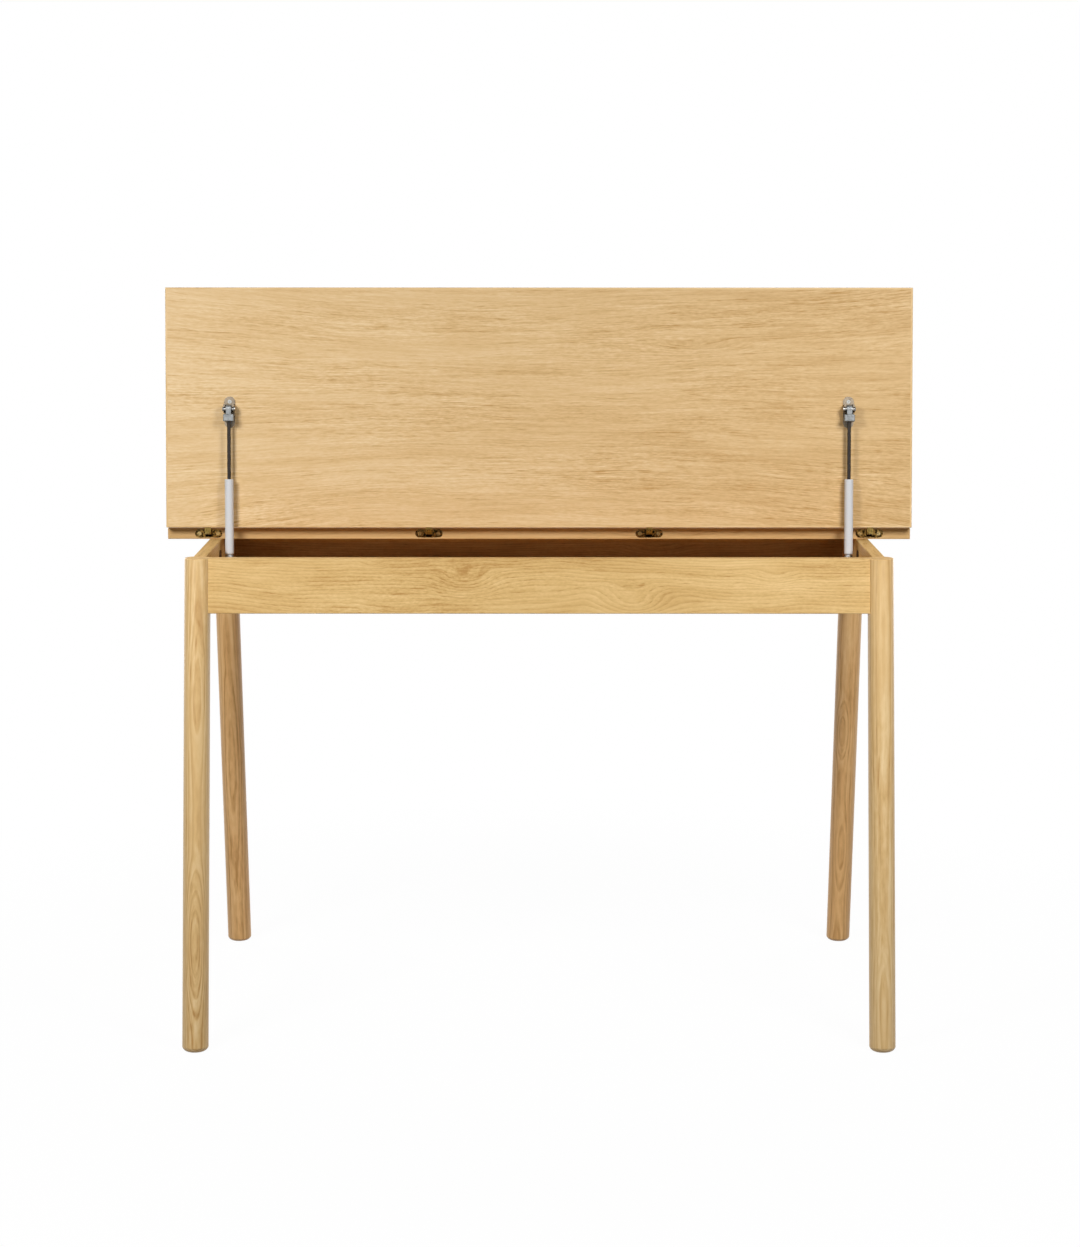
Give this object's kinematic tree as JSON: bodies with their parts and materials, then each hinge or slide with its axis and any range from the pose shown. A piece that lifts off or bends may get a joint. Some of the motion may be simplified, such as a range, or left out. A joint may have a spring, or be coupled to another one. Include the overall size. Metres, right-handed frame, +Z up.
{
  "type": "writing desk",
  "caption": "Lift-top writing desk: a hinged lid over a shallow compartment, a fixed rear top, gas struts, and round legs that lean in pairs.",
  "frame": {"origin": "on the floor, under the middle of the desk", "axes": "+X to the right along the long side, +Y to the back, +Z up"},
  "size_m": [1.2, 0.7014, 1.1436],
  "materials": {
    "oak_legs": "solid oak, matt oil",
    "oak_rails": "solid oak, matt oil",
    "oak_inner": "solid oak, bare",
    "floor_panel": "veneered plywood, matt lacquer",
    "oak_veneer": "oak veneer, matt lacquer",
    "oak_lipping": "solid oak edge, matt lacquer",
    "brass_screws": "satin",
    "brass_cups": "satin, slightly dull",
    "hinge_links": "satin",
    "zinc_screws": "zinc plated",
    "zinc_brackets": "zinc plated",
    "steel_pins": "bright steel",
    "zinc_fittings": "die-cast zinc",
    "barrel_paint": "smooth light grey paint",
    "seal": "matt black",
    "rod_steel": "black nitrided, smooth"
  },
  "bodies": {
    "desk": {"front_left_leg": "oak_legs", "front_right_leg": "oak_legs", "rear_left_leg": "oak_legs", "rear_right_leg": "oak_legs", "front_rail": "oak_rails", "rear_rail": "oak_rails", "left_rail": "oak_rails", "right_rail": "oak_rails", "compartment_floor": "floor_panel", "front_cleat": "oak_inner", "rear_cleat": "oak_inner", "left_cleat": "oak_inner", "right_cleat": "oak_inner", "rear_top_core": "oak_veneer", "rear_top_lipping": "oak_lipping", "rear_top_batten": "oak_inner", "batten_screws": "zinc_screws", "left_outer_frame_cup": "brass_cups", "left_inner_frame_cup": "brass_cups", "right_inner_frame_cup": "brass_cups", "right_outer_frame_cup": "brass_cups", "frame_cup_screws": "brass_screws", "left_strut_bracket": "zinc_brackets", "right_strut_bracket": "zinc_brackets", "left_strut_stud": "steel_pins", "right_strut_stud": "steel_pins", "strut_bracket_screws": "zinc_screws"},
    "lid": {"lid_core": "oak_veneer", "lid_lipping": "oak_lipping", "left_outer_lid_cup": "brass_cups", "left_inner_lid_cup": "brass_cups", "right_inner_lid_cup": "brass_cups", "right_outer_lid_cup": "brass_cups", "lid_cup_screws": "brass_screws", "left_lid_bracket": "zinc_brackets", "right_lid_bracket": "zinc_brackets", "lid_bracket_screws": "zinc_screws"},
    "hinge_links": {"left_outer_links": "hinge_links", "left_inner_links": "hinge_links", "right_inner_links": "hinge_links", "right_outer_links": "hinge_links"},
    "left_strut_barrel": {"left_strut_foot": "zinc_fittings", "left_barrel": "barrel_paint", "left_gland": "seal"},
    "left_strut_rod": {"left_rod": "rod_steel", "left_piston": "seal", "left_rod_head": "zinc_fittings", "left_head_pin": "steel_pins"},
    "right_strut_barrel": {"right_strut_foot": "zinc_fittings", "right_barrel": "barrel_paint", "right_gland": "seal"},
    "right_strut_rod": {"right_rod": "rod_steel", "right_piston": "seal", "right_rod_head": "zinc_fittings", "right_head_pin": "steel_pins"}
  },
  "joints": [
    {"name": "lid_hinge", "type": "hinge", "parent": "desk", "child": "lid", "pos_m": [0, 0.046, 0.758], "axis": [1, 0, 0], "range_deg": [0, 96]},
    {"name": "link_swing", "type": "hinge", "parent": "desk", "child": "hinge_links", "pos_m": [0, 0.046, 0.758], "axis": [1, 0, 0], "range_deg": [0, 48]},
    {"name": "left_strut_pivot", "type": "hinge", "parent": "desk", "child": "left_strut_barrel", "pos_m": [-0.497, 0.01, 0.708], "axis": [1, 0, 0], "range_deg": [0, 89.05]},
    {"name": "left_strut_slide", "type": "slide", "parent": "left_strut_barrel", "child": "left_strut_rod", "axis": [0, 0.0987, 0.9951], "range_m": [-0.0885, 0]},
    {"name": "right_strut_pivot", "type": "hinge", "parent": "desk", "child": "right_strut_barrel", "pos_m": [0.497, 0.01, 0.708], "axis": [1, 0, 0], "range_deg": [0, 89.05]},
    {"name": "right_strut_slide", "type": "slide", "parent": "right_strut_barrel", "child": "right_strut_rod", "axis": [0, 0.0987, 0.9951], "range_m": [-0.0885, 0]}
  ],
  "couplings": [
    {"joint": "link_swing", "follows": "lid_hinge", "ratio": 0.5},
    {"joint": "left_strut_pivot", "follows": "lid_hinge", "ratio": 0.92752},
    {"joint": "left_strut_slide", "follows": "lid_hinge", "m_per_rad": -0.052791},
    {"joint": "right_strut_pivot", "follows": "lid_hinge", "ratio": 0.92752},
    {"joint": "right_strut_slide", "follows": "lid_hinge", "m_per_rad": -0.052791}
  ]
}
